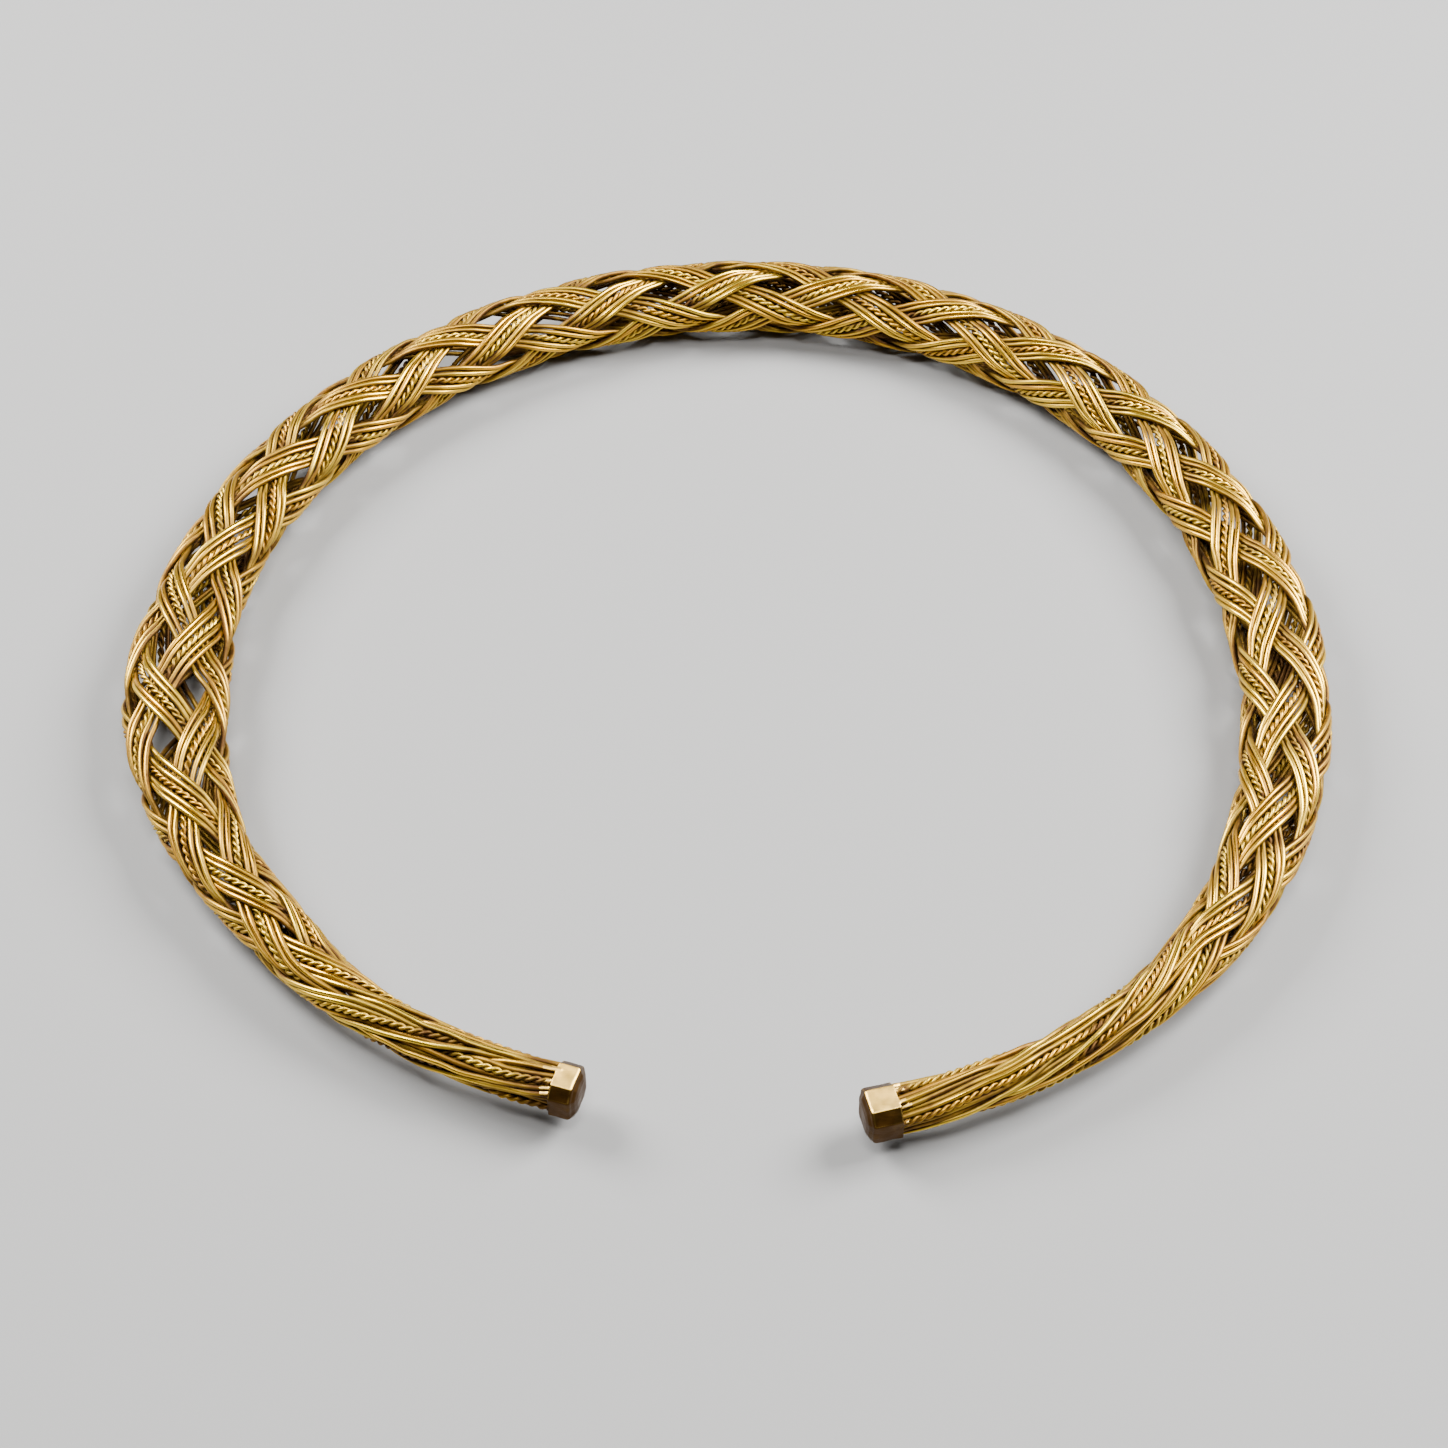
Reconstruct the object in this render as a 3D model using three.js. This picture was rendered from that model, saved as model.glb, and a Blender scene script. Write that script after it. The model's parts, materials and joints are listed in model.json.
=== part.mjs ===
// A braided gold neck ring, lying flat: eight bands of wire are woven one over one under
// into a hollow tube, gathered into a solid bundle at each end, and fused into two terminals.
// Units are millimetres and degrees. Z is up, and the opening of the ring faces -Y.
// Places along the ring are angles from the middle of the opening, anticlockwise from above.
import * as THREE from 'three';

// The ring, and where its bundles enter the two terminals
const ringRadius = 68.5;
const rightTerminalAngle = 15.0;
const leftTerminalAngle = 342.2;

// Bent by hand, the ring is not quite round: how far it strays out (or in, below zero)
const bends = [
  { out: 1.2, at: 47, spread: 22 },
  { out: -0.6, at: 108, spread: 28 },
  { out: 0.5, at: 160, spread: 20 },
  { out: -0.5, at: 215, spread: 24 },
  { out: 1.1, at: 278, spread: 22 },
  { out: -0.7, at: 307, spread: 8 },
  { out: -2.0, at: 345, spread: 28 },
];

// Outer sizes of the braid, and where it narrows to the bundles
const braidWidth = 11.5;
const braidHeight = 9.2;
const bundleDiameter = 5.8;
const bundleCore = 1.2;
const rightTaper = { from: 32, to: 80 };
const leftTaper = { from: 278, to: 325 };

// Stretches where the braid has come loose and stands wider, by how much on each side
const swellings = [
  { wider: 0.4, higher: 0.1, at: 100, spread: 15 },
  { wider: 1.2, higher: 0.4, at: 274, spread: 12 },
  { wider: 0.4, higher: 0.1, at: 312, spread: 8 },
];

// The weave: bands that turn right-handed pass over and under as many left-handed ones.
// A band is thickest in its middle, where it holds a twisted pair of wires.
const bandsEachWay = 4;
const crossingRows = 39;
const weaveStart = 49.5;
const weaveEnd = 313.4;
const weaveEase = 4;
const bandWidth = 3.5;
const bandThickness = 0.66;
const weaveGap = 0.3;
const waveFlatness = 1.2;
const widestBandAngle = 30;

// How far the weave lies turned about the middle of the braid, at the back of the ring,
// and how it turns on along the ring, in degrees for each degree of the ring
const weaveTurnAtBack = -65;
const braidTwist = -0.53;
const rightBundleTwist = -5;
const leftBundleTwist = -4.3;

// How far along the ring the bands gather, how far the flanks of a gathered band lie
// below its back, and the gap between neighbours
const gatherAngle = 10;
const bundleFlankDrop = 0.4;
const bundleGap = 0.3;

// The terminals: filed blocks with cut corners
const terminalSize = 5.6;
const terminalCornerCut = 1.3;
const terminalEndChamfer = 0.35;
const rightTerminalLength = 4.0;
const leftTerminalLength = 3.1;
const terminalGap = 0.3;

const stepsPerRow = 3;

const degree = Math.PI / 180;
const backAngle = 180;
const rowAngle = (weaveEnd - weaveStart) / crossingRows;
const rowPhase = 180 / bandsEachWay;
const phasePerDegree = rowPhase / rowAngle;
const weaveHeight = (bandThickness + weaveGap) / 2;
const bundleDepth = (bundleDiameter - bundleCore) / 2;
const terminalGapAngle = terminalGap / ringRadius / degree;

function mix(a, b, share) {
  return a + (b - a) * share;
}

// A smooth hump along the ring, one high at its place
function hump(angle, place) {
  return Math.exp(-(((angle - place.at) / place.spread) ** 2));
}

function radiusAt(angle) {
  return bends.reduce((radius, bend) => radius + bend.out * hump(angle, bend), ringRadius);
}

// The point on the middle line of the ring, moved outward by across and raised by up
function ringPoint(angle, across, up) {
  const a = angle * degree;
  const radius = radiusAt(angle) + across;
  return new THREE.Vector3(radius * Math.sin(a), -radius * Math.cos(a), up);
}

// Zero before the ramp, then a smooth start, then one for each degree
function softRamp(distance, ease) {
  const u = THREE.MathUtils.clamp(distance / ease, 0, 1);
  return ease * (u ** 3 - u ** 4 / 2) + Math.max(0, distance - ease);
}

// How far the bands have turned against each other, in degrees. The rows of crossings lie
// at whole multiples of rowPhase, and the weave starts and ends halfway between two.
function weavePhase(angle) {
  const startPhase = (1 - crossingRows / 2) * rowPhase;
  const lead = softRamp(angle - weaveStart + weaveEase / 2, weaveEase);
  const trail = softRamp(angle - weaveEnd + weaveEase / 2, weaveEase);
  return startPhase + phasePerDegree * (lead - trail);
}

// The turn of the whole braid about its own middle, in degrees
function braidTurn(angle) {
  const right = softRamp(weaveStart + weaveEase / 2 - angle, weaveEase);
  const left = softRamp(angle - weaveEnd + weaveEase / 2, weaveEase);
  const twisted = weaveTurnAtBack + braidTwist * (angle - backAngle);
  return twisted - (rightBundleTwist - braidTwist) * right + (leftBundleTwist - braidTwist) * left;
}

// One in the bundles and zero in the woven tube; reach moves the change into the weave
function bundleShare(angle, reach) {
  const start = weaveStart + reach;
  const end = weaveEnd - reach;
  const right = THREE.MathUtils.smoothstep(angle, start - gatherAngle, start);
  const left = THREE.MathUtils.smoothstep(angle, end, end + gatherAngle);
  return 1 - right + left;
}

// The size of the braid at one place: half sizes to the middle of the woven wall, the
// depth of a band's middle, how far it rises over the others, and how far its flanks
// lie above the middle of the wall
function braidAt(angle) {
  const right = THREE.MathUtils.smoothstep(angle, rightTaper.from, rightTaper.to);
  const left = THREE.MathUtils.smoothstep(angle, leftTaper.from, leftTaper.to);
  const share = right - left;
  const wider = swellings.reduce((sum, swelling) => sum + swelling.wider * hump(angle, swelling), 0);
  const higher = swellings.reduce((sum, swelling) => sum + swelling.higher * hump(angle, swelling), 0);
  const gathered = bundleShare(angle, -weaveEase / 2);
  const depth = mix(bandThickness, bundleDepth, gathered);
  const rise = mix(weaveHeight, 0, gathered);
  const wall = rise + depth / 2;
  return {
    wide: mix(bundleDiameter, braidWidth, share) / 2 + wider - wall,
    high: mix(bundleDiameter, braidHeight, share) / 2 + higher - wall,
    depth,
    rise,
    flank: mix(0, bundleDepth / 2 - bundleFlankDrop, gathered),
  };
}

// A point of the braid: angle along the ring, turn about its middle (zero is up and a
// quarter turn is outward), and offset from the middle of the wall
function braidPoint(angle, turn, offset, braid) {
  const across = (braid.wide + offset) * Math.sin(turn);
  const up = (braid.high + offset) * Math.cos(turn);
  return ringPoint(angle, across, up);
}

function flatWave(value) {
  return Math.tanh(waveFlatness * value) / Math.tanh(waveFlatness);
}

// Half the angle that a band takes up round the braid
function bandHalfAngle(angle, middle, braid) {
  const speed = Math.hypot(braid.wide * Math.cos(middle), braid.high * Math.sin(middle));
  const lead = Math.atan(speed * phasePerDegree / ringRadius);
  const flat = Math.min(bandWidth / 2 / speed / Math.cos(lead), widestBandAngle * degree);
  const packed = Math.PI / 2 / bandsEachWay - bundleGap / 2 / (braid.high + braid.flank);
  return mix(flat, packed, bundleShare(angle, gatherAngle));
}

// A band's section: back, flank, belly, flank, anticlockwise seen from where the ring goes
// on. hand is 1 for a band that turns right-handed and -1 for one that turns left-handed.
function bandSection(angle, hand, startTurn) {
  const braid = braidAt(angle);
  const phase = weavePhase(angle) * degree;
  const middle = startTurn + hand * phase + braidTurn(angle) * degree;
  const half = bandHalfAngle(angle, middle, braid);
  const corner = (beside, offset) => {
    const wave = hand * Math.cos(bandsEachWay * phase + hand * bandsEachWay * beside / 2);
    return braidPoint(angle, middle + beside, braid.rise * flatWave(wave) + offset, braid);
  };
  return [
    corner(0, braid.depth / 2),
    corner(half, braid.flank),
    corner(0, -braid.depth / 2),
    corner(-half, braid.flank),
  ];
}

// A closed solid through sections that have their corners in the same order. Each quad
// between two sections is split along its shorter diagonal, so that a twisted face stays full.
function loftGeometry(sections) {
  const corners = sections[0].length;
  const points = sections.flat();
  const faces = [];
  for (let s = 0; s < sections.length - 1; s += 1) {
    for (let c = 0; c < corners; c += 1) {
      const here = s * corners + c;
      const beside = s * corners + (c + 1) % corners;
      const ahead = here + corners;
      const across = beside + corners;
      if (points[here].distanceTo(points[across]) < points[beside].distanceTo(points[ahead])) {
        faces.push(here, beside, across, here, across, ahead);
      } else {
        faces.push(here, beside, ahead, beside, across, ahead);
      }
    }
  }
  const last = (sections.length - 1) * corners;
  for (let c = 1; c < corners - 1; c += 1) {
    faces.push(0, c + 1, c);
    faces.push(last, last + c, last + c + 1);
  }
  const geometry = new THREE.BufferGeometry();
  const positions = points.flatMap((point) => point.toArray());
  geometry.setAttribute('position', new THREE.Float32BufferAttribute(positions, 3));
  geometry.setIndex(faces);
  geometry.computeVertexNormals();
  return geometry;
}

// Places along a band for its sections, with one on each row of crossings
function bandStations() {
  const first = rightTerminalAngle + terminalGapAngle;
  const last = leftTerminalAngle - terminalGapAngle;
  const step = rowAngle / stepsPerRow;
  const firstRow = weaveStart + rowAngle / 2;
  const stations = [first];
  const before = Math.ceil((first - firstRow) / step + 0.5);
  for (let k = before; firstRow + k * step < last - step / 2; k += 1) {
    stations.push(firstRow + k * step);
  }
  stations.push(last);
  return stations;
}

const wireGold = new THREE.MeshStandardMaterial({ color: 0xd9a93f, roughness: 0.28, metalness: 1 });
const terminalGold = new THREE.MeshStandardMaterial({ color: 0xb98e48, roughness: 0.42, metalness: 1 });

function bandMesh(name, hand, startTurn) {
  const sections = bandStations().map((angle) => bandSection(angle, hand, startTurn));
  const mesh = new THREE.Mesh(loftGeometry(sections), wireGold);
  mesh.name = name;
  return mesh;
}

// The eight corners of a terminal's section, drawn in by inset
function terminalOutline(inset) {
  const half = terminalSize / 2 - inset;
  const flat = terminalSize / 2 - terminalCornerCut - inset * Math.tan(Math.PI / 8);
  const middle = new THREE.Vector2();
  const corners = [];
  for (let quarter = 0; quarter < 4; quarter += 1) {
    const turn = quarter * Math.PI / 2;
    corners.push(new THREE.Vector2(half, -flat).rotateAround(middle, turn));
    corners.push(new THREE.Vector2(half, flat).rotateAround(middle, turn));
  }
  return corners;
}

// A block with cut corners that stands along Z, with a chamfer round its end face
function terminalGeometry(length) {
  const section = (inset, z) => terminalOutline(inset).map(({ x, y }) => new THREE.Vector3(x, y, z));
  return loftGeometry([
    section(0, 0),
    section(0, length - terminalEndChamfer),
    section(terminalEndChamfer, length),
  ]);
}

// The terminal stands where its bundle ends and points along the ring into the opening:
// direction is 1 where the ring's angle grows and -1 where it falls
function terminalMesh(name, angle, length, direction) {
  const a = angle * degree;
  const mesh = new THREE.Mesh(terminalGeometry(length), terminalGold);
  mesh.name = name;
  mesh.position.copy(ringPoint(angle, 0, 0));
  const up = new THREE.Vector3(0, 0, 1);
  const along = new THREE.Vector3(Math.cos(a), Math.sin(a), 0).multiplyScalar(direction);
  const axes = new THREE.Matrix4().makeBasis(up.clone().cross(along), up, along);
  mesh.quaternion.setFromRotationMatrix(axes);
  return mesh;
}

const torc = new THREE.Group();
torc.name = 'torc';
for (let band = 0; band < bandsEachWay; band += 1) {
  const startTurn = band * 2 * Math.PI / bandsEachWay;
  torc.add(bandMesh(`band_right_hand_${band + 1}`, 1, startTurn));
  torc.add(bandMesh(`band_left_hand_${band + 1}`, -1, startTurn));
}
torc.add(terminalMesh('terminal_right', rightTerminalAngle, rightTerminalLength, -1));
torc.add(terminalMesh('terminal_left', leftTerminalAngle, leftTerminalLength, 1));

// The origin is on the surface that the ring lies on, under the middle of its outer box
torc.updateMatrixWorld(true);
const box = new THREE.Box3().setFromObject(torc, true);
torc.position.set(-(box.min.x + box.max.x) / 2, -(box.min.y + box.max.y) / 2, -box.min.z);
torc.updateMatrixWorld(true);

export default torc;
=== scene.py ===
# A braided gold neck ring lying on a pale floor: plain wires and twisted pairs of wires,
# woven in bands into a hollow tube, gathered at both ends and fused into filed terminals.
import json
import math

import bmesh
import bpy
from mathutils import Matrix, Vector, noise


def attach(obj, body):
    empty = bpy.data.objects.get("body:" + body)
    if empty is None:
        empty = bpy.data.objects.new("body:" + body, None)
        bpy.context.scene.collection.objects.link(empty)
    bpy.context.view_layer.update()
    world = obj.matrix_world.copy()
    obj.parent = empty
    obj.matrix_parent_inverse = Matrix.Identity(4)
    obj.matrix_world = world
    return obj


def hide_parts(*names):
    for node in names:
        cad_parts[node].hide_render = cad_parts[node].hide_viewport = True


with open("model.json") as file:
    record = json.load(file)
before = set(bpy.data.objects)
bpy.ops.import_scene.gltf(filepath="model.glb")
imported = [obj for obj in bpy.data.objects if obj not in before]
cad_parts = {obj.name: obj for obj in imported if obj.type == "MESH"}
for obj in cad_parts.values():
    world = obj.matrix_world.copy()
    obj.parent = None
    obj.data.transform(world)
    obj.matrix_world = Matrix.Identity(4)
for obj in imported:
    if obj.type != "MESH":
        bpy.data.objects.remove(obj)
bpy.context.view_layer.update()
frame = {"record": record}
scene = bpy.context.scene
mm = 0.001
up = Vector((0, 0, 1))

# Places along the ring are angles in degrees from the middle of the opening, anticlockwise
# seen from above. Sizes are in millimetres.
ring = {
    "radius": 68.5,
    "rightEnd": 15.0,  # where the wires enter the terminals
    "leftEnd": 342.2,
    "rightLength": 4.0,  # of the terminals
    "leftLength": 3.1,
    # Each bend: how far out, where, how long
    "bends": [(1.2, 47, 22), (-0.6, 108, 28), (0.5, 160, 20), (-0.5, 215, 24),
              (1.1, 278, 22), (-0.7, 307, 8), (-2.0, 345, 28)],
    "width": 11.5,  # of the braid
    "height": 9.2,
    "rightTaper": (32, 80),
    "leftTaper": (278, 325),
    # Each swelling: how much wider and higher, where, how long
    "swellings": [(0.4, 0.1, 100, 15), (1.2, 0.4, 274, 12), (0.4, 0.1, 312, 8)],
}

# The weave: four bands turn right-handed and four left-handed, one over one under
weave = {
    "bandsEachWay": 4,
    "rows": 39,  # of crossings, from start to end
    "start": 49.5,
    "end": 313.4,
    "ease": 4,  # degrees over which the turning changes there
    "wallDepth": 0.96,  # from the outside of the braid to the middle of its wall
    "rise": 0.45,  # of the wires above and below that middle
    "flatness": 1.5,  # more keeps the wires longer at the top and at the bottom
    "widestBand": 33,  # half the angle that a band may take round the tube
    "turnAtBack": -65,  # of the whole braid about its own middle
    "twist": -0.53,  # degrees of that turn for each degree along the ring
    "looseSpread": 0.18,  # how far the wires of a band part where the braid is loose
    "looseAt": (268, 24),
}

# The bundles: the bands turn more and more slowly and their wires leave their order
bundle = {
    "wall": 2.15,  # from the middle of a bundle to the middle of its wall
    "rise": 0.36,
    "widestBand": 41,
    "rate": 0.6,  # of the turning, against the weave
    "slowing": 42,  # degrees past the weave at which the turning would stop
    "rightTwist": -5,  # of each bundle, like the weave's
    "leftTwist": -4.3,
    "gather": 10,  # degrees over which the weave becomes a bundle
    "wander": 13,  # degrees that a wire strays round the bundle
    "wanderScale": 0.09,
    "bob": 0.9,  # how far a wire strays down from the wall
    "bobScale": 0.10,
    "highest": 0.08,
    "sunkPlaces": [(1, 3), (3,), (1, 3), (1,)],  # wires of each band that lie deeper
    "sunk": 0.8,
    "outerLayer": 0.20,  # outside the wall's middle; wires lower than this get painted shade, as they lie under others
    "layerDepth": 0.20,
    # Painted shade on the wires where they go into the terminals
    "shadeAtEnd": 1.3,
    "shadeWithin": 7,  # degrees of a terminal
}

# In a bundle the wires are pushed apart, step by step, until they lie side by side
settling = {
    "from": 24,  # degrees inside the weave
    "past": 1,  # degrees inside the terminal
    "steps": 114,
    "over": 10,  # steps over which it sets in
    "rounds": 60,  # at each step
    "pull": 0.006,  # of a wire towards its own place, each round
    "room": 0.75,  # outside the middle of the wall
    "smoothing": 1,
}

# Five strands lie side by side in a band: plain, plain, twisted pair, plain, plain
wires = {
    "plainDiameter": 0.66,
    "strandDiameter": 0.46,  # of each wire of a pair
    "lay": 2.4,  # along the pair, for one turn
    "pairStart": (0.9, 0.35),  # turn of a pair at its first end, by band and by hand
    "across": [-1.47, -0.80, 0, 0.80, 1.47],  # from the middle of the band
    "pairPlace": 2,  # counted from 0
    "pairDrop": 0.13,  # pairs lie a little deeper than plain wires
    "roundness": 2,
    "stepsPerRow": 12,
    "stepsPerTurn": 10,
    "wander": 0.05,  # of a wire in its band
    "looseWander": 0.24,
    "wanderScale": 0.11,
    "intoTerminal": 0.7,
    "tone": (0.5, 0.9),  # of the wires, and how much it differs between them
}

# Places in the noise, so that every irregularity is one of its own
noisePlaces = {
    "drift": (7.31, 1.7),
    "bundleWander": 3,
    "bob": 9,
    "tone": (3.7, 5.3, 2.9),
    "finger": (1.37, 0.5),
}


def mix(a, b, share):
    return a + (b - a) * share


def smoothStep(value, low, high):
    t = min(max((value - low) / (high - low), 0), 1)
    return t * t * (3 - 2 * t)


def hump(angle, at, spread):
    return math.exp(-(((angle - at) / spread) ** 2))


def radiusAt(angle):
    return ring["radius"] + sum(out * hump(angle, at, spread) for out, at, spread in ring["bends"])


# Directions at a place of the ring: along it as the angle grows, and outward
def alongAt(angle):
    a = math.radians(angle)
    return Vector((math.cos(a), math.sin(a), 0))


def outwardAt(angle):
    a = math.radians(angle)
    return Vector((math.sin(a), -math.cos(a), 0))


# The ring's middle, found from the flat end of the right terminal
rightMount = next(m for m in frame["record"]["mounts"] if m["name"] == "right_terminal_end")
ringMiddle = (Vector(rightMount["pos_m"]) / mm
              + alongAt(ring["rightEnd"]) * ring["rightLength"]
              - outwardAt(ring["rightEnd"]) * radiusAt(ring["rightEnd"]))


def ringPoint(angle, across, rise):
    return ringMiddle + outwardAt(angle) * (radiusAt(angle) + across) + up * rise


# The angle that corresponds to a length along the ring
def ringAngle(length):
    return math.degrees(length / ring["radius"])


# Zero before a place, and then a distance that sets in softly
def softRamp(distance, ease):
    u = min(max(distance / ease, 0), 1)
    return ease * (u ** 3 - u ** 4 / 2) + max(0, distance - ease)


rowAngle = (weave["end"] - weave["start"]) / weave["rows"]
rowPhase = 180 / weave["bandsEachWay"]
phasePerDegree = rowPhase / rowAngle


# How far the two sets of bands have turned against each other
def weavePhase(angle):
    first = (1 - weave["rows"] / 2) * rowPhase
    half = weave["ease"] / 2
    lead = softRamp(angle - weave["start"] + half, weave["ease"])
    trail = softRamp(angle - weave["end"] + half, weave["ease"])
    # In a bundle the turning slows down towards the terminal
    right = max(0, weave["start"] - angle)
    left = max(0, angle - weave["end"])
    slowing = (right * right - left * left) / (2 * bundle["slowing"])
    turned = mix(lead - trail, angle - weave["start"] + slowing, bundle["rate"])
    return first + phasePerDegree * turned


# The turn of the whole braid about its own middle
def braidTurn(angle):
    half = weave["ease"] / 2
    right = softRamp(weave["start"] + half - angle, weave["ease"])
    left = softRamp(angle - weave["end"] + half, weave["ease"])
    turned = weave["turnAtBack"] + weave["twist"] * (angle - 180)
    turned -= (bundle["rightTwist"] - weave["twist"]) * right
    return turned + (bundle["leftTwist"] - weave["twist"]) * left


# One in the bundles at both ends and zero in the woven tube
def bundleShare(angle):
    start = weave["start"] - weave["ease"] / 2
    end = weave["end"] + weave["ease"] / 2
    right = smoothStep(angle, start - bundle["gather"], start)
    left = smoothStep(angle, end, end + bundle["gather"])
    return 1 - right + left


# Half sizes of the tube to the middle of its wall, at one place of the ring
def tubeAt(angle):
    share = smoothStep(angle, *ring["rightTaper"]) - smoothStep(angle, *ring["leftTaper"])
    wider = sum(w * hump(angle, at, spread) for w, _, at, spread in ring["swellings"])
    higher = sum(h * hump(angle, at, spread) for _, h, at, spread in ring["swellings"])
    wide = mix(bundle["wall"], ring["width"] / 2 - weave["wallDepth"], share) + wider
    high = mix(bundle["wall"], ring["height"] / 2 - weave["wallDepth"], share) + higher
    return wide, high


def flatWave(value):
    return math.tanh(weave["flatness"] * value) / math.tanh(weave["flatness"])


# Every strand of the braid: its hand, its band and its place in the band
strands = [(hand, band, place) for hand in (1, -1) for band in range(weave["bandsEachWay"])
           for place in range(len(wires["across"]))]


# A number of its own for every strand, from which its irregularities follow
def seedOf(strand):
    hand, band, place = strand
    return band * 10 + place + (50 if hand < 0 else 0)


# A slow change along the ring, between about -1 and 1
def drift(angle, scale, seed):
    second, third = noisePlaces["drift"]
    return noise.noise(Vector((angle * scale, seed * second, seed * third)))


# Where a strand's middle lies in the section of the ring, outward and up from the middle of
# the braid, and how high it rides over the others, from -1 to 1
def wirePlace(angle, strand):
    hand, band, place = strand
    seed = seedOf(strand)
    wide, high = tubeAt(angle)
    gathered = bundleShare(angle)
    loose = hump(angle, *weave["looseAt"])
    phase = weavePhase(angle)
    bandStart = band * 360 / weave["bandsEachWay"]
    middle = math.radians(bandStart + hand * phase + braidTurn(angle))
    sway = wires["wander"] + wires["looseWander"] * loose
    across = wires["across"][place] * (1 + weave["looseSpread"] * loose)
    across += drift(angle, wires["wanderScale"], seed) * sway
    # A band leans, so it takes a wider angle round the tube than across itself
    speed = math.hypot(wide * math.cos(middle), high * math.sin(middle))
    slope = phasePerDegree * mix(1, bundle["rate"], gathered)
    lean = math.cos(math.atan(speed * slope / ring["radius"]))
    halfBand = wires["across"][-1] + wires["plainDiameter"] / 2
    halfAngle = math.degrees(halfBand / speed / lean)
    widest = mix(weave["widestBand"], bundle["widestBand"], gathered)
    beside = math.degrees(across / speed / lean) * min(1, widest / halfAngle)
    stray = drift(angle, bundle["wanderScale"], seed + noisePlaces["bundleWander"])
    beside += stray * bundle["wander"] * gathered
    crossing = weave["bandsEachWay"] * (phase + hand * beside / 2)
    rides = flatWave(hand * math.cos(math.radians(crossing)))
    bob = drift(angle, bundle["bobScale"], seed + noisePlaces["bob"]) * bundle["bob"]
    bob = min(bob, bundle["highest"]) * gathered
    if place in bundle["sunkPlaces"][band]:
        bob -= bundle["sunk"] * gathered
    lift = mix(weave["rise"], bundle["rise"], gathered) * rides + bob
    if place == wires["pairPlace"]:
        lift -= wires["pairDrop"]
    turn = middle + math.radians(beside)
    return (wide + lift) * math.sin(turn), (high + lift) * math.cos(turn), rides


# One round of pushing apart wires that lie inside one another in a section
def pushApart(xs, zs, halves):
    for i in range(len(xs)):
        for j in range(i):
            need = halves[i] + halves[j]
            dx = xs[i] - xs[j]
            dz = zs[i] - zs[j]
            if abs(dx) > need or abs(dz) > need:
                continue
            apart = math.hypot(dx, dz)
            if 0 < apart < need:
                push = (need - apart) / apart / 2
                xs[i] += dx * push
                zs[i] += dz * push
                xs[j] -= dx * push
                zs[j] -= dz * push


# Each step becomes the mean of itself and the steps beside it
def smoothPath(path):
    smooth = [path[0]]
    for before, here, after in zip(path, path[1:], path[2:]):
        smooth.append([((a[0] + b[0] + c[0]) / 3, (a[1] + b[1] + c[1]) / 3)
                       for a, b, c in zip(before, here, after)])
    return smooth + [path[-1]]


# Settles the wires from a place inside the weave to the terminal, and gives for each step
# how far each wire has moved
def settleBundle(weaveAngle, endAngle):
    pairHalf = wires["strandDiameter"]
    plainHalf = wires["plainDiameter"] / 2
    halves = [pairHalf if place == wires["pairPlace"] else plainHalf for _, _, place in strands]
    moves = [(0.0, 0.0)] * len(strands)
    path = []
    for k in range(settling["steps"] + 1):
        angle = mix(weaveAngle, endAngle, k / settling["steps"])
        wide, high = (size + settling["room"] for size in tubeAt(angle))
        aims = [wirePlace(angle, strand) for strand in strands]
        xs = [aim[0] + move[0] for aim, move in zip(aims, moves)]
        zs = [aim[1] + move[1] for aim, move in zip(aims, moves)]
        for _ in range(settling["rounds"]):
            pushApart(xs, zs, halves)
            for i, aim in enumerate(aims):
                x = mix(xs[i], aim[0], settling["pull"])
                z = mix(zs[i], aim[1], settling["pull"])
                outside = math.hypot(x / (wide - halves[i]), z / (high - halves[i]))
                inward = min(1, 1 / outside)
                xs[i] = x * inward
                zs[i] = z * inward
        moves = [(x - aim[0], z - aim[1]) for x, z, aim in zip(xs, zs, aims)]
        path.append(moves)
    for _ in range(settling["smoothing"]):
        path = smoothPath(path)
    return weaveAngle, endAngle, path


settled = [
    settleBundle(weave["start"] + settling["from"], ring["rightEnd"] - settling["past"]),
    settleBundle(weave["end"] - settling["from"], ring["leftEnd"] + settling["past"]),
]


# How far a strand is moved at any place of the ring, from the steps before and after it
def settledMove(angle, number):
    for weaveAngle, endAngle, path in settled:
        along = (angle - weaveAngle) / (endAngle - weaveAngle) * settling["steps"]
        if along > 0:
            k = min(int(along), settling["steps"] - 1)
            here = path[k][number]
            ahead = path[k + 1][number]
            share = smoothStep(along, 0, settling["over"])
            return [mix(here[n], ahead[n], along - k) * share for n in range(2)]
    return [0, 0]


# One point of a strand's middle line: the point, the outward direction there, and how high the
# strand rides over the others, set low where painted shade is to lie
def wirePoint(angle, strand):
    wide, high = tubeAt(angle)
    x, z, rides = wirePlace(angle, strand)
    moveX, moveZ = settledMove(angle, strands.index(strand))
    x += moveX
    z += moveZ
    # Painted shade: in a bundle the wires under the outer layer are marked low, and so are all
    # wires near a terminal
    gathered = bundleShare(angle)
    if gathered > 0:
        above = math.hypot(x, z) - (wide + high) / 2 - bundle["outerLayer"]
        rides = mix(rides, above / bundle["layerDepth"], gathered)
    fromEnd = min(angle - ring["rightEnd"], ring["leftEnd"] - angle)
    rides -= bundle["shadeAtEnd"] * smoothStep(fromEnd, bundle["shadeWithin"], 0)
    outward = (outwardAt(angle) * x / wide + up * z / high).normalized()
    return ringPoint(angle, x, z), outward, rides


# The places along the ring at which a wire's line is worked out
def wireAngles(step):
    intoAngle = ringAngle(wires["intoTerminal"])
    first = ring["rightEnd"] - intoAngle
    last = ring["leftEnd"] + intoAngle
    count = round((last - first) / step)
    return [first + (last - first) * k / count for k in range(count + 1)]


def addObject(name, data):
    holder = bpy.data.objects.new(name, data)
    scene.collection.objects.link(holder)
    return holder


# The mesh of an object with its thickness or its modifiers worked out
def workedOutMesh(holder):
    bpy.context.view_layer.update()
    evaluated = holder.evaluated_get(bpy.context.evaluated_depsgraph_get())
    return bpy.data.meshes.new_from_object(evaluated)


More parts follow.
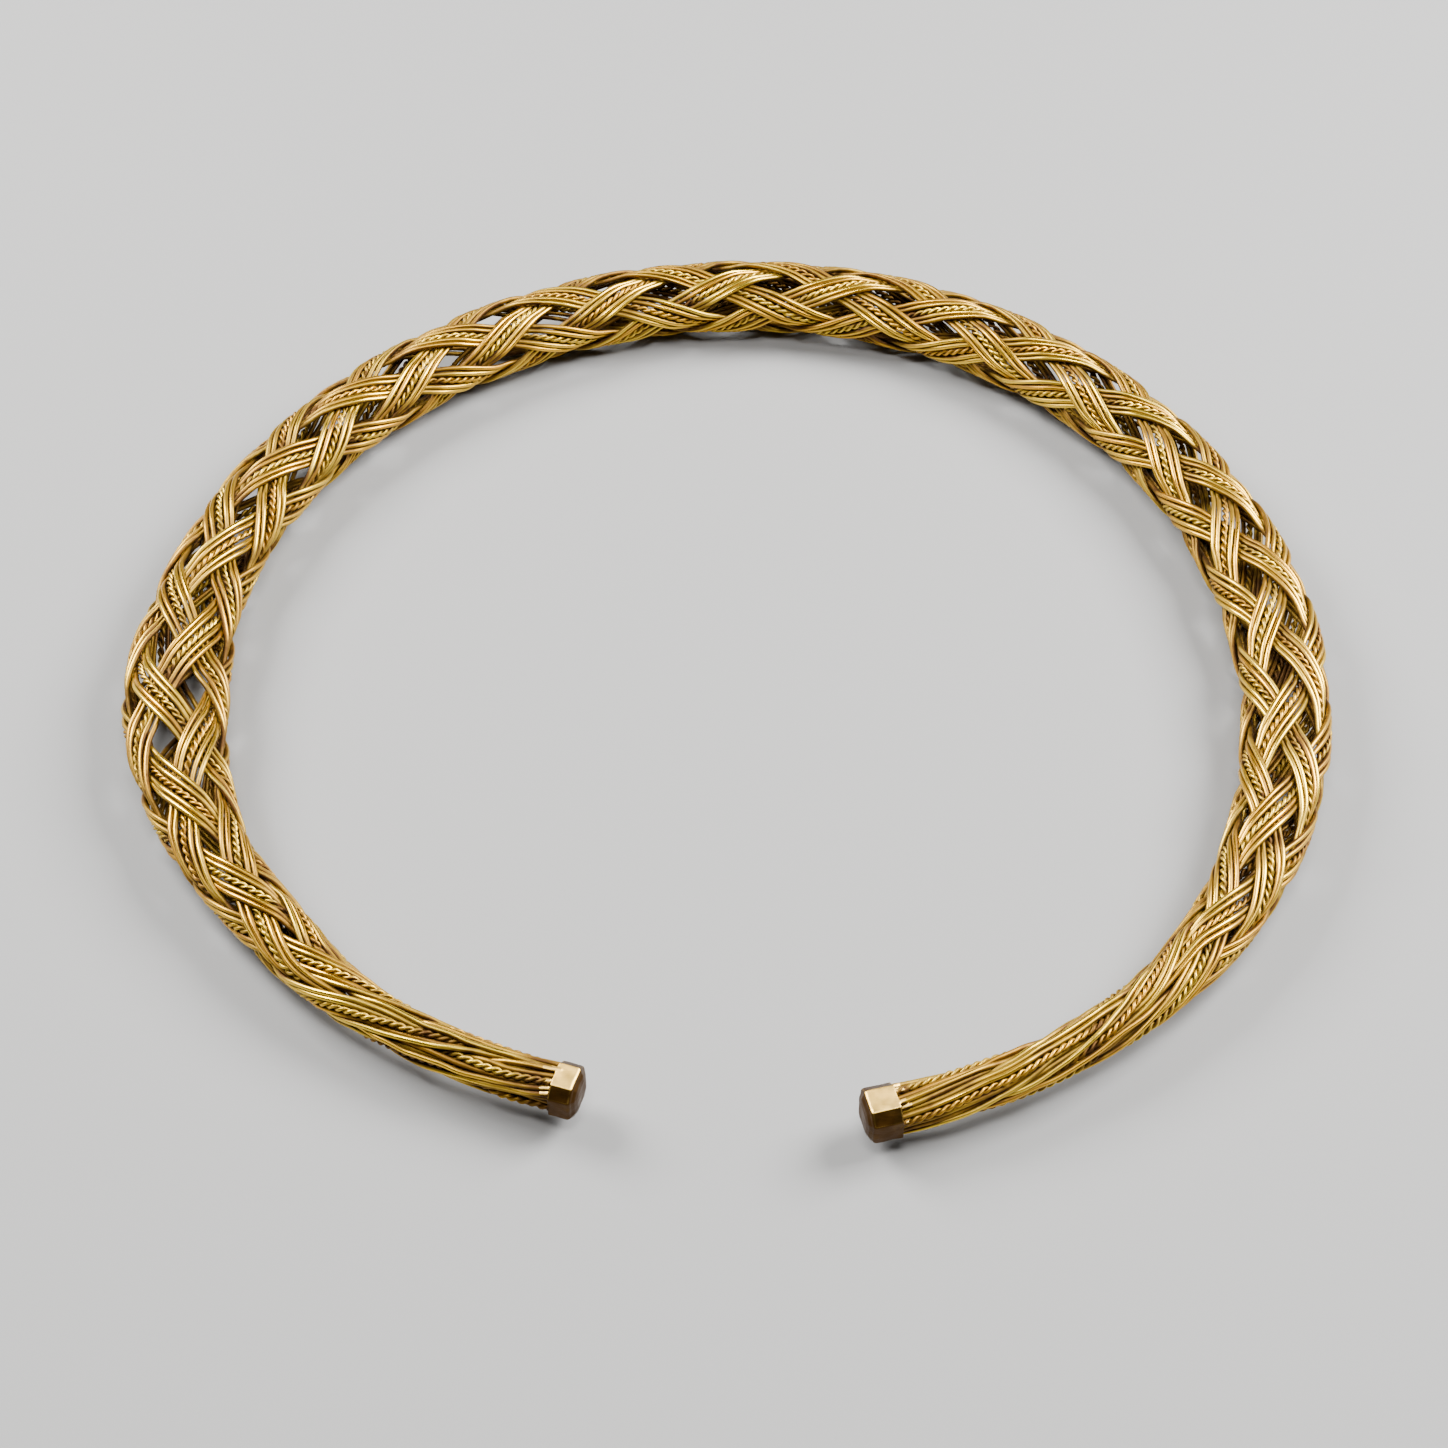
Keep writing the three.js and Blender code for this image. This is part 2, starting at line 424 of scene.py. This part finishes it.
# A round wire, or several, along lines of points
def wireMesh(name, lines, diameter):
    curve = bpy.data.curves.new(name + "_line", "CURVE")
    curve.dimensions = "3D"
    curve.bevel_depth = diameter / 2 * mm
    curve.bevel_resolution = wires["roundness"]
    curve.use_fill_caps = True
    for line in lines:
        spline = curve.splines.new("POLY")
        spline.points.add(len(line) - 1)
        numbers = [n for p in line for n in (p.x * mm, p.y * mm, p.z * mm, 1)]
        spline.points.foreach_set("co", numbers)
        spline.use_smooth = True
    holder = addObject(name + "_line", curve)
    mesh = workedOutMesh(holder)
    mesh.name = name
    bpy.data.objects.remove(holder)
    bpy.data.curves.remove(curve)
    return addObject(name, mesh)


# Painted shade, partly grime, on the wires: how dark they become on the sides that face away, where
# they dip under, in the notches of a pair and on all of a pair
paintedShadeLook = {
    "side": (0.06, 0.46),  # how far the surface turns away from outward, from clean to painted shade
    "dip": 0.85,  # painted shade on a wire that dips under others
    "dipOver": (-0.6, 1.2),  # how deep it dips, from clean to painted shade
    "notch": (0.48, 0.98),  # from the middle of a pair outward, from painted shade in the notch to clean
    "pair": 0.16,  # more painted shade and grime on all of a pair, which lies deeper
}


def storeValues(mesh, name, values):
    mesh.attributes.new(name, "FLOAT", "POINT").data.foreach_set("value", values)


# Painted shade, partly grime: a wire is darkened where it faces its neighbours or the inside of the
# tube, where it dips under, and in the notches of a pair. It is stored on the mesh with a tone for
# each wire.
def storeShadeAndTone(piece, marks, sides, tone):
    mesh = piece.data
    shadeAndGrime = []
    for vertex in mesh.vertices:
        outward, rides, core = marks[min(vertex.index // sides, len(marks) - 1)]
        facing = vertex.normal.dot(outward)
        value = smoothStep(1 - facing, *paintedShadeLook["side"])
        value += paintedShadeLook["dip"] * smoothStep(-rides, *paintedShadeLook["dipOver"])
        if core is not None:
            inner = (vertex.co / mm - core).length / wires["strandDiameter"]
            value = max(value + paintedShadeLook["pair"], 1 - smoothStep(inner, *paintedShadeLook["notch"]))
        shadeAndGrime.append(min(value, 1))
    storeValues(mesh, "shadeAndGrime", shadeAndGrime)
    storeValues(mesh, "tone", [tone] * len(shadeAndGrime))


def toneOf(strand):
    middle, spread = wires["tone"]
    place = Vector([n * step for n, step in zip(strand, noisePlaces["tone"])])
    return middle + spread * noise.noise(place)


def finishPiece(piece, material, nodes):
    piece.data.materials.clear()
    piece.data.materials.append(material)
    for polygon in piece.data.polygons:
        polygon.use_smooth = True
    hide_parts(*nodes)
    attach(piece, "root")


# The words in a piece's name that tell its band, such as right_hand_1
def bandName(hand, band):
    handName = "right" if hand > 0 else "left"
    return f"{handName}_hand_{band + 1}"


def plainWire(hand, band, place, material):
    strand = (hand, band, place)
    name = f"plain_wire_{bandName(hand, band)}_{place + 1}"
    points = [wirePoint(angle, strand) for angle in wireAngles(rowAngle / wires["stepsPerRow"])]
    piece = wireMesh(name, [[point for point, _, _ in points]], wires["plainDiameter"])
    marks = [(outward, rides, None) for _, outward, rides in points]
    storeShadeAndTone(piece, marks, len(piece.data.vertices) // len(points), toneOf(strand))
    finishPiece(piece, material, [f"band_{bandName(hand, band)}"])


# Two thin wires wound left-handed round each other
def twistedPair(hand, band, material):
    strand = (hand, band, wires["pairPlace"])
    name = f"twisted_pair_{bandName(hand, band)}"
    stepAngle = ringAngle(wires["lay"] / wires["stepsPerTurn"])
    points = [wirePoint(angle, strand) for angle in wireAngles(stepAngle)]
    lines = [[], []]
    marks = []
    bandTurn, handTurn = wires["pairStart"]
    run = band * bandTurn + hand * handTurn
    for k, (point, outward, rides) in enumerate(points):
        ahead = points[min(k + 1, len(points) - 1)][0]
        behind = points[max(k - 1, 0)][0]
        along = (ahead - behind).normalized()
        beside = along.cross(outward).normalized()
        outer = beside.cross(along)
        if k:
            run -= (point - behind).length / wires["lay"] * 2 * math.pi
        for which, line in enumerate(lines):
            turn = run + which * math.pi
            away = outer * math.cos(turn) + beside * math.sin(turn)
            line.append(point + away * wires["strandDiameter"] / 2)
        marks.append((outward, rides, point))
    piece = wireMesh(name, lines, wires["strandDiameter"])
    sides = len(piece.data.vertices) // (2 * len(points))
    storeShadeAndTone(piece, marks + marks, sides, toneOf(strand))
    finishPiece(piece, material, [f"band_{bandName(hand, band)}"])


# Materials and the node groups that they share

mottleLook = {
    "detail": 4,
    "roughness": 0.6,
    "blend": (0.55, 1.45),
    "patchRange": (0.3, 0.7),  # from light patches to deep ones
}

scratchLook = {
    "detail": 3,
    "line": (0.42, 0.58),
}

wireLook = {
    "light": (1.0, 0.66, 0.055, 1),
    "deep": (0.78, 0.40, 0.028, 1),
    "patchScale": 260,
    "roughness": (0.19, 0.32),
    # The dark brown of the wires' painted shade and grime, and how thick, rough and metallic it is
    "shadeAndGrime": (0.070, 0.029, 0.004, 1),
    "shadeAndGrimeThickness": (0.75, 1.1),
    "shadeAndGrimeRoughness": 0.55,
    "shadeAndGrimeMetallic": 0.8,
    "bump": 0.12,
    "bumpHeight": 0.05,
    "bumpScale": 2600,
    "bumpDetail": 3,
}

terminalLook = {
    "light": (0.95, 0.62, 0.15, 1),
    "deep": (0.68, 0.41, 0.08, 1),
    "tone": 0.45,
    "patchScale": 420,
    "roughness": (0.34, 0.55),
    # The dark brown of the terminals' painted shade and patina, and how thick it lies
    "shadeAndPatina": (0.060, 0.027, 0.005, 1),
    "shadeAndPatinaThickness": (0.95, 1.05),
    "scratchStretch": (14, 1, 1),
    "scratchTurn": 25,
    "scratchFineness": 5200,
    "scratchDepth": 0.35,  # against the pits
    "pitScale": 520,
    "pitSize": 0.07,
    "bump": 0.35,
    "bumpHeight": 0.04,
}


def nodeTree(name):
    material = bpy.data.materials.new(name)
    material.use_nodes = True
    return material, material.node_tree.nodes, material.node_tree.links


# An empty node group, with the sockets inside it that its inputs and outputs lead to
def makeGroup(name, inputs, outputs):
    group = bpy.data.node_groups.new(name, "ShaderNodeTree")
    for socket, kind in inputs.items():
        group.interface.new_socket(name=socket, in_out="INPUT", socket_type="NodeSocket" + kind)
    for socket, kind in outputs.items():
        group.interface.new_socket(name=socket, in_out="OUTPUT", socket_type="NodeSocket" + kind)
    entry = group.nodes.new("NodeGroupInput")
    leave = group.nodes.new("NodeGroupOutput")
    return group, entry.outputs, leave.inputs


def rangeNode(nodes, links, value, fromRange, toRange=(0, 1)):
    node = nodes.new("ShaderNodeMapRange")
    node.inputs["From Min"].default_value = fromRange[0]
    node.inputs["From Max"].default_value = fromRange[1]
    node.inputs["To Min"].default_value = toRange[0]
    node.inputs["To Max"].default_value = toRange[1]
    links.new(value, node.inputs["Value"])
    return node


# Soft patches of lighter and darker, redder and yellower gold
def makeMottleGroup():
    inputs = {"Vector": "Vector", "Light": "Color", "Deep": "Color",
              "Scale": "Float", "Tone": "Float"}
    group, entry, leave = makeGroup("gold_mottle", inputs, {"Color": "Color", "Patches": "Float"})
    nodes = group.nodes
    links = group.links
    patches = nodes.new("ShaderNodeTexNoise")
    patches.inputs["Detail"].default_value = mottleLook["detail"]
    patches.inputs["Roughness"].default_value = mottleLook["roughness"]
    links.new(entry["Vector"], patches.inputs["Vector"])
    links.new(entry["Scale"], patches.inputs["Scale"])
    total = nodes.new("ShaderNodeMath")
    total.operation = "ADD"
    links.new(patches.outputs["Fac"], total.inputs[0])
    links.new(entry["Tone"], total.inputs[1])
    spread = rangeNode(nodes, links, total.outputs["Value"], mottleLook["blend"])
    blend = nodes.new("ShaderNodeMix")
    blend.data_type = "RGBA"
    links.new(spread.outputs["Result"], blend.inputs["Factor"])
    links.new(entry["Light"], blend.inputs[6])
    links.new(entry["Deep"], blend.inputs[7])
    links.new(blend.outputs[2], leave["Color"])
    links.new(patches.outputs["Fac"], leave["Patches"])
    return group


# A darker cover over the gold, thicker where the patches are deep: the painted shade and grime of
# the wires, and the painted shade and patina of the terminals
def makeCoverGroup():
    inputs = {"Amount": "Float", "Patches": "Float", "Thin": "Float", "Thick": "Float",
              "Gold": "Color", "Cover": "Color"}
    group, entry, leave = makeGroup("uneven_cover", inputs, {"Color": "Color", "Share": "Float"})
    nodes = group.nodes
    links = group.links
    uneven = rangeNode(nodes, links, entry["Patches"], mottleLook["patchRange"])
    links.new(entry["Thin"], uneven.inputs["To Min"])
    links.new(entry["Thick"], uneven.inputs["To Max"])
    share = nodes.new("ShaderNodeMath")
    share.operation = "MULTIPLY"
    share.use_clamp = True
    links.new(entry["Amount"], share.inputs[0])
    links.new(uneven.outputs["Result"], share.inputs[1])
    colour = nodes.new("ShaderNodeMix")
    colour.data_type = "RGBA"
    links.new(share.outputs["Value"], colour.inputs["Factor"])
    links.new(entry["Gold"], colour.inputs[6])
    links.new(entry["Cover"], colour.inputs[7])
    links.new(colour.outputs[2], leave["Color"])
    links.new(share.outputs["Value"], leave["Share"])
    return group


# Short fine scratches, stretched along one direction
def makeScratchGroup():
    inputs = {"Vector": "Vector", "Fineness": "Float"}
    group, entry, leave = makeGroup("fine_scratches", inputs, {"Height": "Float"})
    nodes = group.nodes
    links = group.links
    grain = nodes.new("ShaderNodeTexNoise")
    grain.inputs["Detail"].default_value = scratchLook["detail"]
    links.new(entry["Vector"], grain.inputs["Vector"])
    links.new(entry["Fineness"], grain.inputs["Scale"])
    line = rangeNode(nodes, links, grain.outputs["Fac"], scratchLook["line"])
    links.new(line.outputs["Result"], leave["Height"])
    return group


mottleGroup = makeMottleGroup()
coverGroup = makeCoverGroup()
scratchGroup = makeScratchGroup()


def mottleNode(nodes, links, place, look):
    mottle = nodes.new("ShaderNodeGroup")
    mottle.node_tree = mottleGroup
    mottle.inputs["Light"].default_value = look["light"]
    mottle.inputs["Deep"].default_value = look["deep"]
    mottle.inputs["Scale"].default_value = look["patchScale"]
    links.new(place.outputs["Object"], mottle.inputs["Vector"])
    return mottle


# The gold of a mottle under a cover, whose amount is stored on the piece under a name
def coverNode(nodes, links, mottle, name, colour, thickness):
    amount = nodes.new("ShaderNodeAttribute")
    amount.attribute_name = name
    cover = nodes.new("ShaderNodeGroup")
    cover.node_tree = coverGroup
    cover.inputs["Thin"].default_value = thickness[0]
    cover.inputs["Thick"].default_value = thickness[1]
    cover.inputs["Cover"].default_value = colour
    links.new(amount.outputs["Fac"], cover.inputs["Amount"])
    links.new(mottle.outputs["Patches"], cover.inputs["Patches"])
    links.new(mottle.outputs["Color"], cover.inputs["Gold"])
    return cover


# Polished where the patches are light, duller where they are deep
def polishNode(nodes, links, mottle, look):
    patches = mottle.outputs["Patches"]
    return rangeNode(nodes, links, patches, mottleLook["patchRange"], look["roughness"])


def addBump(nodes, links, height, look, shader):
    bump = nodes.new("ShaderNodeBump")
    bump.inputs["Strength"].default_value = look["bump"]
    bump.inputs["Distance"].default_value = look["bumpHeight"] * mm
    links.new(height, bump.inputs["Height"])
    links.new(bump.outputs["Normal"], shader.inputs["Normal"])


def makeWireGold():
    look = wireLook
    material, nodes, links = nodeTree("wire_gold")
    shader = nodes["Principled BSDF"]
    place = nodes.new("ShaderNodeTexCoord")
    tone = nodes.new("ShaderNodeAttribute")
    tone.attribute_name = "tone"
    mottle = mottleNode(nodes, links, place, look)
    links.new(tone.outputs["Fac"], mottle.inputs["Tone"])
    # The painted shade and grime stored on each wire darkens its gold
    cover = coverNode(nodes, links, mottle, "shadeAndGrime", look["shadeAndGrime"], look["shadeAndGrimeThickness"])
    share = cover.outputs["Share"]
    links.new(cover.outputs["Color"], shader.inputs["Base Color"])
    metal = rangeNode(nodes, links, share, (0, 1), (1, look["shadeAndGrimeMetallic"]))
    links.new(metal.outputs["Result"], shader.inputs["Metallic"])
    polish = polishNode(nodes, links, mottle, look)
    rough = nodes.new("ShaderNodeMix")
    rough.data_type = "FLOAT"
    rough.inputs[3].default_value = look["shadeAndGrimeRoughness"]
    links.new(share, rough.inputs["Factor"])
    links.new(polish.outputs["Result"], rough.inputs[2])
    links.new(rough.outputs[0], shader.inputs["Roughness"])
    grain = nodes.new("ShaderNodeTexNoise")
    grain.inputs["Scale"].default_value = look["bumpScale"]
    grain.inputs["Detail"].default_value = look["bumpDetail"]
    links.new(place.outputs["Object"], grain.inputs["Vector"])
    addBump(nodes, links, grain.outputs["Fac"], look, shader)
    return material


def makeTerminalGold():
    look = terminalLook
    material, nodes, links = nodeTree("terminal_gold")
    shader = nodes["Principled BSDF"]
    shader.inputs["Metallic"].default_value = 1.0
    place = nodes.new("ShaderNodeTexCoord")
    mottle = mottleNode(nodes, links, place, look)
    mottle.inputs["Tone"].default_value = look["tone"]
    # The painted shade and patina stored on each terminal darkens its gold
    cover = coverNode(nodes, links, mottle, "shadeAndPatina", look["shadeAndPatina"], look["shadeAndPatinaThickness"])
    links.new(cover.outputs["Color"], shader.inputs["Base Color"])
    polish = polishNode(nodes, links, mottle, look)
    links.new(polish.outputs["Result"], shader.inputs["Roughness"])
    stretch = nodes.new("ShaderNodeMapping")
    stretch.inputs["Rotation"].default_value = (0, 0, math.radians(look["scratchTurn"]))
    stretch.inputs["Scale"].default_value = [1 / s for s in look["scratchStretch"]]
    links.new(place.outputs["Object"], stretch.inputs["Vector"])
    scratches = nodes.new("ShaderNodeGroup")
    scratches.node_tree = scratchGroup
    scratches.inputs["Fineness"].default_value = look["scratchFineness"]
    links.new(stretch.outputs["Vector"], scratches.inputs["Vector"])
    pits = nodes.new("ShaderNodeTexVoronoi")
    pits.inputs["Scale"].default_value = look["pitScale"]
    links.new(place.outputs["Object"], pits.inputs["Vector"])
    pit = rangeNode(nodes, links, pits.outputs["Distance"], (0, look["pitSize"]))
    surface = nodes.new("ShaderNodeMath")
    surface.operation = "MULTIPLY_ADD"
    surface.inputs[1].default_value = look["scratchDepth"]
    links.new(scratches.outputs["Height"], surface.inputs[0])
    links.new(pit.outputs["Result"], surface.inputs[2])
    addBump(nodes, links, surface.outputs["Value"], look, shader)
    return material


# The terminals: filed blocks with cut corners, fused with the wires' ends
terminals = {
    "size": 5.6,
    "cornerCut": 1.3,
    "edge": 0.42,
    "edgeSteps": 3,
    "domeSteps": [(0.45, 0.28), (0.7, 0.16)],  # inward and out, from the edge of the end
    "voxel": 0.07,
    "softening": (0.5, 12),  # how much, how often
    "waves": 0.05,  # left by filing by hand
    "wavesScale": 900,
    "litTop": (0.80, 0.97),  # painted light: how far the surface faces up, from painted shade to bright
    "highlitEdge": (1.2, 3.6),  # painted highlight, partly edge wear: how sharply it bends, from brown to bright
    "highlitEdgeFacing": (0.5, 0.95),  # how far up it faces where its edges get the painted highlight
    "fingerPlaces": (0, 2, 4),  # in a band
    "fingerSides": 12,
    "fingerDiameter": 0.8,
    "fingerInside": 0.6,  # where a finger starts inside the block
    "fingerReach": (0.4, 1.7),  # shortest and longest outside it
    "fingerLowest": 0.15,  # wires that face further down have none
}


# A block that stands on its wire side: its own Z points to its end
def filedBlock(length):
    half = terminals["size"] / 2
    flat = half - terminals["cornerCut"]
    block = bmesh.new()
    corners = [(half, -flat), (half, flat), (flat, half), (-flat, half),
               (-half, flat), (-half, -flat), (-flat, -half), (flat, -half)]
    base = block.faces.new([block.verts.new((x, y, 0)) for x, y in corners])
    grown = bmesh.ops.extrude_face_region(block, geom=[base])
    moved = [v for v in grown["geom"] if isinstance(v, bmesh.types.BMVert)]
    dome = sum(rise for _, rise in terminals["domeSteps"])
    bmesh.ops.translate(block, vec=(0, 0, length - dome), verts=moved)
    endFace = next(f for f in grown["geom"] if isinstance(f, bmesh.types.BMFace))
    bmesh.ops.bevel(block, geom=list(endFace.edges), offset=terminals["edge"], offset_type="OFFSET",
                    segments=terminals["edgeSteps"], profile=0.5, affect="EDGES", material=-1)
    endFace = max(block.faces, key=lambda f: f.calc_center_median().z)
    for inset, rise in terminals["domeSteps"]:
        bmesh.ops.inset_individual(block, faces=[endFace], thickness=inset)
        bmesh.ops.translate(block, vec=(0, 0, rise), verts=list(endFace.verts))
    bmesh.ops.recalc_face_normals(block, faces=block.faces)
    return block


# Fingers of melted gold run a little way along the upper wires
def addFingers(block, angle, direction):
    seedStep, layer = noisePlaces["finger"]
    for strand in strands:
        if strand[2] not in terminals["fingerPlaces"]:
            continue
        chance = 0.5 + noise.noise(Vector((seedOf(strand) * seedStep, angle, layer)))
        reach = mix(*terminals["fingerReach"], chance)
        start = wirePoint(angle + ringAngle(terminals["fingerInside"]) * direction, strand)[0]
        end, outward, _ = wirePoint(angle - ringAngle(reach) * direction, strand)
        if outward.z < terminals["fingerLowest"]:
            continue
        line = end - start
        turned = up.rotation_difference(line).to_matrix().to_4x4()
        turned.translation = (start + end) / 2
        bmesh.ops.create_cone(block, cap_ends=True, segments=terminals["fingerSides"],
                              radius1=terminals["fingerDiameter"] / 2,
                              radius2=wires["plainDiameter"] / 2,
                              depth=line.length, matrix=turned)


# Painted light and shade, partly patina and wear: surfaces that face up are painted bright, edges
# that bend sharply and face up get a painted highlight, and the sides and ends are painted browner
# as shade
def storeShadeAndPatina(mesh):
    curved = [0.0] * len(mesh.vertices)
    for edge in mesh.edges:
        first, second = (mesh.vertices[i] for i in edge.vertices)
        line = second.co - first.co
        bend = line.dot(second.normal - first.normal) / line.length_squared * mm
        curved[first.index] = max(curved[first.index], bend)
        curved[second.index] = max(curved[second.index], bend)
    shadeAndPatina = []
    for vertex in mesh.vertices:
        top = smoothStep(vertex.normal.z, *terminals["litTop"])
        edgeHighlight = smoothStep(curved[vertex.index], *terminals["highlitEdge"])
        edgeHighlight *= smoothStep(vertex.normal.z, *terminals["highlitEdgeFacing"])
        shadeAndPatina.append((1 - top) * (1 - edgeHighlight))
    storeValues(mesh, "shadeAndPatina", shadeAndPatina)


def terminal(node, angle, length, direction, material):
    block = filedBlock(length)
    # Turned into place: its end faces the opening and its own Y points up
    along = alongAt(angle) * direction
    sideways = up.cross(along)
    axes = Matrix((sideways, up, along)).transposed().to_4x4()
    axes.translation = ringPoint(angle, 0, 0)
    bmesh.ops.transform(block, matrix=axes, verts=block.verts)
    addFingers(block, angle, direction)
    bmesh.ops.scale(block, vec=(mm, mm, mm), verts=block.verts)
    mesh = bpy.data.meshes.new(node + "_fused")
    block.to_mesh(mesh)
    block.free()
    piece = addObject(node + "_fused", mesh)
    remesh = piece.modifiers.new("fuse", "REMESH")
    remesh.mode = "VOXEL"
    remesh.voxel_size = terminals["voxel"] * mm
    soften = piece.modifiers.new("soften", "SMOOTH")
    soften.factor, soften.iterations = terminals["softening"]
    fused = workedOutMesh(piece)
    piece.modifiers.clear()
    piece.data = fused
    handFiled = []
    for vertex in fused.vertices:
        wave = noise.noise(vertex.co * terminals["wavesScale"]) * terminals["waves"] * mm
        handFiled.extend(vertex.co + vertex.normal * wave)
    fused.vertices.foreach_set("co", handFiled)
    fused.update()
    storeShadeAndPatina(fused)
    finishPiece(piece, material, [node])


# Camera, light and floor

view = {
    "elevation": 49.4,
    "distance": 390.4,
    "aim": (-1.48, -9.72, 0),  # from the middle of the ring
    "focalPixels": 3174,
    "framePixels": 1448,
    "sensor": 36,
    "nearest": 10,
}


def makeCamera():
    camera = bpy.data.cameras.new("camera")
    camera.sensor_width = view["sensor"]
    camera.lens = view["focalPixels"] / view["framePixels"] * view["sensor"]
    camera.clip_start = view["nearest"] * mm
    holder = addObject("camera", camera)
    lift = math.radians(view["elevation"])
    aim = ringMiddle + Vector(view["aim"])
    away = Vector((0, -math.cos(lift), math.sin(lift))) * view["distance"]
    holder.location = (aim + away) * mm
    holder.rotation_euler = (math.pi / 2 - lift, 0, 0)
    scene.camera = holder


lighting = {
    "world": (0.62, 0.63, 0.65, 1),
    "worldStrength": 0.05,
    # Each lamp: name, place, size, power in watts
    "lamps": [
        ("right", (430, 160, 415), (330, 330), 16.6),
        ("left", (-400, 230, 400), (290, 290), 11.8),
        ("front", (0, -190, 590), (210, 140), 4.0),
    ],
}


def makeLight():
    world = bpy.data.worlds.new("studio")
    world.use_nodes = True
    background = world.node_tree.nodes["Background"]
    background.inputs["Color"].default_value = lighting["world"]
    background.inputs["Strength"].default_value = lighting["worldStrength"]
    scene.world = world
    for name, place, size, power in lighting["lamps"]:
        lamp = bpy.data.lights.new(name, "AREA")
        lamp.shape = "RECTANGLE"
        lamp.size = size[0] * mm
        lamp.size_y = size[1] * mm
        lamp.energy = power
        holder = addObject(name, lamp)
        holder.location = Vector(place) * mm
        holder.rotation_euler = Vector(place).to_track_quat("Z", "Y").to_euler()


floorLook = {
    "reach": 3,  # metres from the middle to each side
    "colour": (0.215, 0.213, 0.209, 1),
    "roughness": 0.9,
}


def makeFloor():
    shape = bmesh.new()
    bmesh.ops.create_grid(shape, x_segments=1, y_segments=1, size=floorLook["reach"])
    mesh = bpy.data.meshes.new("floor")
    shape.to_mesh(mesh)
    shape.free()
    floor = addObject("floor", mesh)
    material, nodes, _ = nodeTree("pale_floor")
    shader = nodes["Principled BSDF"]
    shader.inputs["Base Color"].default_value = floorLook["colour"]
    shader.inputs["Roughness"].default_value = floorLook["roughness"]
    mesh.materials.append(material)


makeCamera()
makeLight()
makeFloor()
print("camera, light and floor are in place")

wireGold = makeWireGold()
terminalGold = makeTerminalGold()
plainPlaces = [place for place in range(len(wires["across"])) if place != wires["pairPlace"]]
for hand in (1, -1):
    for band in range(weave["bandsEachWay"]):
        for place in plainPlaces:
            plainWire(hand, band, place, wireGold)
        twistedPair(hand, band, wireGold)
print("wires are woven")

terminal("terminal_right", ring["rightEnd"], ring["rightLength"], -1, terminalGold)
terminal("terminal_left", ring["leftEnd"], ring["leftLength"], 1, terminalGold)
print("terminals are fused on")
